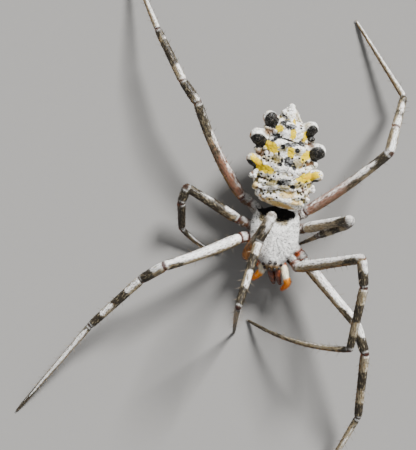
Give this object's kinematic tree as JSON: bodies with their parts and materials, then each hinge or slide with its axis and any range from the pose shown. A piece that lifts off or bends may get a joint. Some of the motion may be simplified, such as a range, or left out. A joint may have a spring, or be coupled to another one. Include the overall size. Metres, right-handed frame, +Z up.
{
  "type": "orb weaver spider",
  "caption": "Still, life-size model of a lobed garden orb weaver spider: long thin banded legs, silver front body, and a flat hind body with knobbed side lobes and a tail cone.",
  "frame": {"origin": "middle of the bounding box in plan, at the level of the toes' flats", "axes": "+Z up, +Y from the head to the tail, +X to the spider's left"},
  "size_m": [0.0552, 0.0794, 0.0172],
  "materials": {
    "silver_coat": "silvery white flat hair over cuticle",
    "cream_coat": "cream white skin with short hair, yellow patches and black knob faces",
    "banded_coat": "silver hair in light and dark bands over tan cuticle",
    "tan_cuticle": "tan translucent cuticle with white hair",
    "orange_coat": "orange yellow cuticle with fine hair",
    "redbrown_cuticle": "glossy red-brown cuticle",
    "dark_cuticle": "dark brown to black cuticle",
    "eye_black": "polished black"
  },
  "bodies": {
    "root": {"carapace": "silver_coat", "sternum": "dark_cuticle", "maxillae": "tan_cuticle", "pedicel": "dark_cuticle", "abdomen": "cream_coat", "spinnerets": "dark_cuticle", "chelicera_right": "redbrown_cuticle", "fang_right": "dark_cuticle", "palp_right_femur": "cream_coat", "palp_right_tip": "orange_coat", "chelicera_left": "redbrown_cuticle", "fang_left": "dark_cuticle", "palp_left_femur": "cream_coat", "palp_left_tip": "orange_coat", "eye_posterior_median_right": "eye_black", "eye_posterior_median_left": "eye_black", "eye_anterior_median_right": "eye_black", "eye_anterior_median_left": "eye_black", "eye_posterior_lateral_right": "eye_black", "eye_posterior_lateral_left": "eye_black", "eye_anterior_lateral_right": "eye_black", "eye_anterior_lateral_left": "eye_black", "leg_right_1_coxa": "tan_cuticle", "leg_right_1_femur": "silver_coat", "leg_right_1_tibia": "banded_coat", "leg_right_1_metatarsus": "banded_coat", "leg_right_2_coxa": "tan_cuticle", "leg_right_2_femur": "silver_coat", "leg_right_2_tibia": "banded_coat", "leg_right_2_metatarsus": "banded_coat", "leg_right_3_coxa": "tan_cuticle", "leg_right_3_femur": "silver_coat", "leg_right_3_tibia": "banded_coat", "leg_right_3_metatarsus": "banded_coat", "leg_right_4_coxa": "tan_cuticle", "leg_right_4_femur": "silver_coat", "leg_right_4_tibia": "banded_coat", "leg_right_4_metatarsus": "banded_coat", "leg_left_1_coxa": "tan_cuticle", "leg_left_1_femur": "silver_coat", "leg_left_1_tibia": "banded_coat", "leg_left_1_metatarsus": "banded_coat", "leg_left_2_coxa": "tan_cuticle", "leg_left_2_femur": "silver_coat", "leg_left_2_tibia": "banded_coat", "leg_left_2_metatarsus": "banded_coat", "leg_left_3_coxa": "tan_cuticle", "leg_left_3_femur": "silver_coat", "leg_left_3_tibia": "banded_coat", "leg_left_3_metatarsus": "banded_coat", "leg_left_4_coxa": "tan_cuticle", "leg_left_4_femur": "silver_coat", "leg_left_4_tibia": "banded_coat", "leg_left_4_metatarsus": "banded_coat"}
  },
  "joints": []
}
